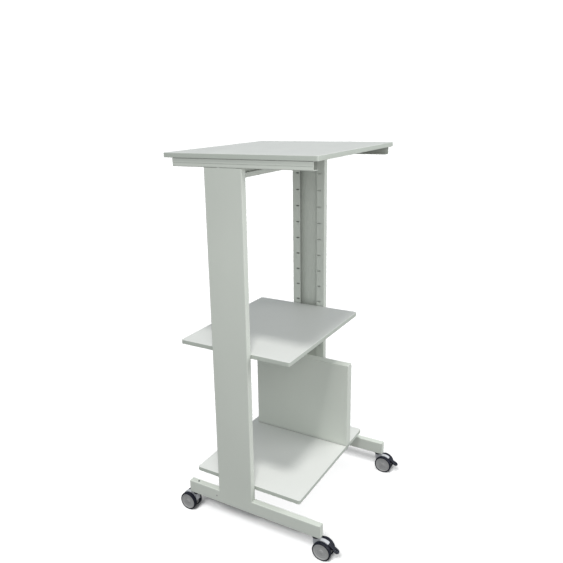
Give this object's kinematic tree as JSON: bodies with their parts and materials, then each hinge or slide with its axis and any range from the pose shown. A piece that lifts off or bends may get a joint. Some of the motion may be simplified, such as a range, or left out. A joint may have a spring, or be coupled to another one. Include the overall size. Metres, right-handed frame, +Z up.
{
  "type": "mobile printer stand",
  "caption": "Mobile printer stand: worktop, height-adjustable shelf, lower shelf with upright side guard, slotted columns, twin-wheel swivel casters and brake pedals.",
  "frame": {"origin": "on the floor, midway between the columns in X, and midway in Y between the tips of the front brake pedals and the backs of the rear casters", "axes": "+X to the right of someone standing at the front, -Y towards that person, +Z up"},
  "size_m": [0.6142, 0.6269, 1.29],
  "materials": {
    "laminate": "pale grey laminate on chipboard, satin",
    "paint": "light grey powder coat with a slight green tint",
    "zinc": "zinc plated steel",
    "hood_plastic": "light silver-grey moulding",
    "hub_plastic": "mid-grey moulding",
    "tyre": "black, matt",
    "black_plastic": "black moulding"
  },
  "bodies": {
    "frame": {"worktop": "laminate", "shelf_mid": "laminate", "shelf_low": "laminate", "crossbar": "paint", "side_guard": "paint", "rail_left": "paint", "rail_right": "paint", "column_left": "paint", "column_right": "paint", "foot_left": "paint", "foot_right": "paint", "cap_front_left": "paint", "cap_front_right": "paint", "cap_rear_left": "paint", "cap_rear_right": "paint", "support_mid_left": "paint", "support_mid_right": "paint", "support_low_left": "paint", "support_low_right": "paint", "mount_front_left": "zinc", "mount_front_right": "zinc", "mount_rear_left": "zinc", "mount_rear_right": "zinc", "washer_front_left": "black_plastic", "washer_front_right": "black_plastic", "washer_rear_left": "black_plastic", "washer_rear_right": "black_plastic", "guard_screw_front": "zinc", "guard_screw_middle": "zinc", "guard_screw_rear": "zinc"},
    "caster_front_left": {"hood_front_left": "hood_plastic", "axle_front_left": "zinc", "pedal_pin_front_left": "zinc"},
    "caster_front_right": {"hood_front_right": "hood_plastic", "axle_front_right": "zinc", "pedal_pin_front_right": "zinc"},
    "caster_rear_left": {"hood_rear_left": "hood_plastic", "axle_rear_left": "zinc"},
    "caster_rear_right": {"hood_rear_right": "hood_plastic", "axle_rear_right": "zinc"},
    "wheel_front_left_l": {"hub_front_left_l": "hub_plastic", "tyre_front_left_l": "tyre"},
    "wheel_front_left_r": {"hub_front_left_r": "hub_plastic", "tyre_front_left_r": "tyre"},
    "wheel_front_right_l": {"hub_front_right_l": "hub_plastic", "tyre_front_right_l": "tyre"},
    "wheel_front_right_r": {"hub_front_right_r": "hub_plastic", "tyre_front_right_r": "tyre"},
    "wheel_rear_left_l": {"hub_rear_left_l": "hub_plastic", "tyre_rear_left_l": "tyre"},
    "wheel_rear_left_r": {"hub_rear_left_r": "hub_plastic", "tyre_rear_left_r": "tyre"},
    "wheel_rear_right_l": {"hub_rear_right_l": "hub_plastic", "tyre_rear_right_l": "tyre"},
    "wheel_rear_right_r": {"hub_rear_right_r": "hub_plastic", "tyre_rear_right_r": "tyre"},
    "brake_front_left": {"pedal_front_left": "black_plastic"},
    "brake_front_right": {"pedal_front_right": "black_plastic"}
  },
  "joints": [
    {"name": "swivel_front_left", "type": "hinge", "parent": "frame", "child": "caster_front_left", "pos_m": [-0.2844, -0.23, 0.067], "axis": [0, 0, 1], "continuous": true},
    {"name": "swivel_front_right", "type": "hinge", "parent": "frame", "child": "caster_front_right", "pos_m": [0.2844, -0.23, 0.067], "axis": [0, 0, 1], "continuous": true},
    {"name": "swivel_rear_left", "type": "hinge", "parent": "frame", "child": "caster_rear_left", "pos_m": [-0.2844, 0.252, 0.067], "axis": [0, 0, 1], "continuous": true},
    {"name": "swivel_rear_right", "type": "hinge", "parent": "frame", "child": "caster_rear_right", "pos_m": [0.2844, 0.252, 0.067], "axis": [0, 0, 1], "continuous": true},
    {"name": "roll_front_left_l", "type": "hinge", "parent": "caster_front_left", "child": "wheel_front_left_l", "pos_m": [-0.2844, -0.258, 0.0325], "axis": [1, 0, 0], "continuous": true},
    {"name": "roll_front_left_r", "type": "hinge", "parent": "caster_front_left", "child": "wheel_front_left_r", "pos_m": [-0.2844, -0.258, 0.0325], "axis": [1, 0, 0], "continuous": true},
    {"name": "roll_front_right_l", "type": "hinge", "parent": "caster_front_right", "child": "wheel_front_right_l", "pos_m": [0.2844, -0.258, 0.0325], "axis": [1, 0, 0], "continuous": true},
    {"name": "roll_front_right_r", "type": "hinge", "parent": "caster_front_right", "child": "wheel_front_right_r", "pos_m": [0.2844, -0.258, 0.0325], "axis": [1, 0, 0], "continuous": true},
    {"name": "roll_rear_left_l", "type": "hinge", "parent": "caster_rear_left", "child": "wheel_rear_left_l", "pos_m": [-0.2844, 0.28, 0.0325], "axis": [1, 0, 0], "continuous": true},
    {"name": "roll_rear_left_r", "type": "hinge", "parent": "caster_rear_left", "child": "wheel_rear_left_r", "pos_m": [-0.2844, 0.28, 0.0325], "axis": [1, 0, 0], "continuous": true},
    {"name": "roll_rear_right_l", "type": "hinge", "parent": "caster_rear_right", "child": "wheel_rear_right_l", "pos_m": [0.2844, 0.28, 0.0325], "axis": [1, 0, 0], "continuous": true},
    {"name": "roll_rear_right_r", "type": "hinge", "parent": "caster_rear_right", "child": "wheel_rear_right_r", "pos_m": [0.2844, 0.28, 0.0325], "axis": [1, 0, 0], "continuous": true},
    {"name": "pedal_front_left", "type": "hinge", "parent": "caster_front_left", "child": "brake_front_left", "pos_m": [-0.2844, -0.2735, 0.045], "axis": [1, 0, 0], "range_deg": [0, 14]},
    {"name": "pedal_front_right", "type": "hinge", "parent": "caster_front_right", "child": "brake_front_right", "pos_m": [0.2844, -0.2735, 0.045], "axis": [1, 0, 0], "range_deg": [0, 14]}
  ]
}
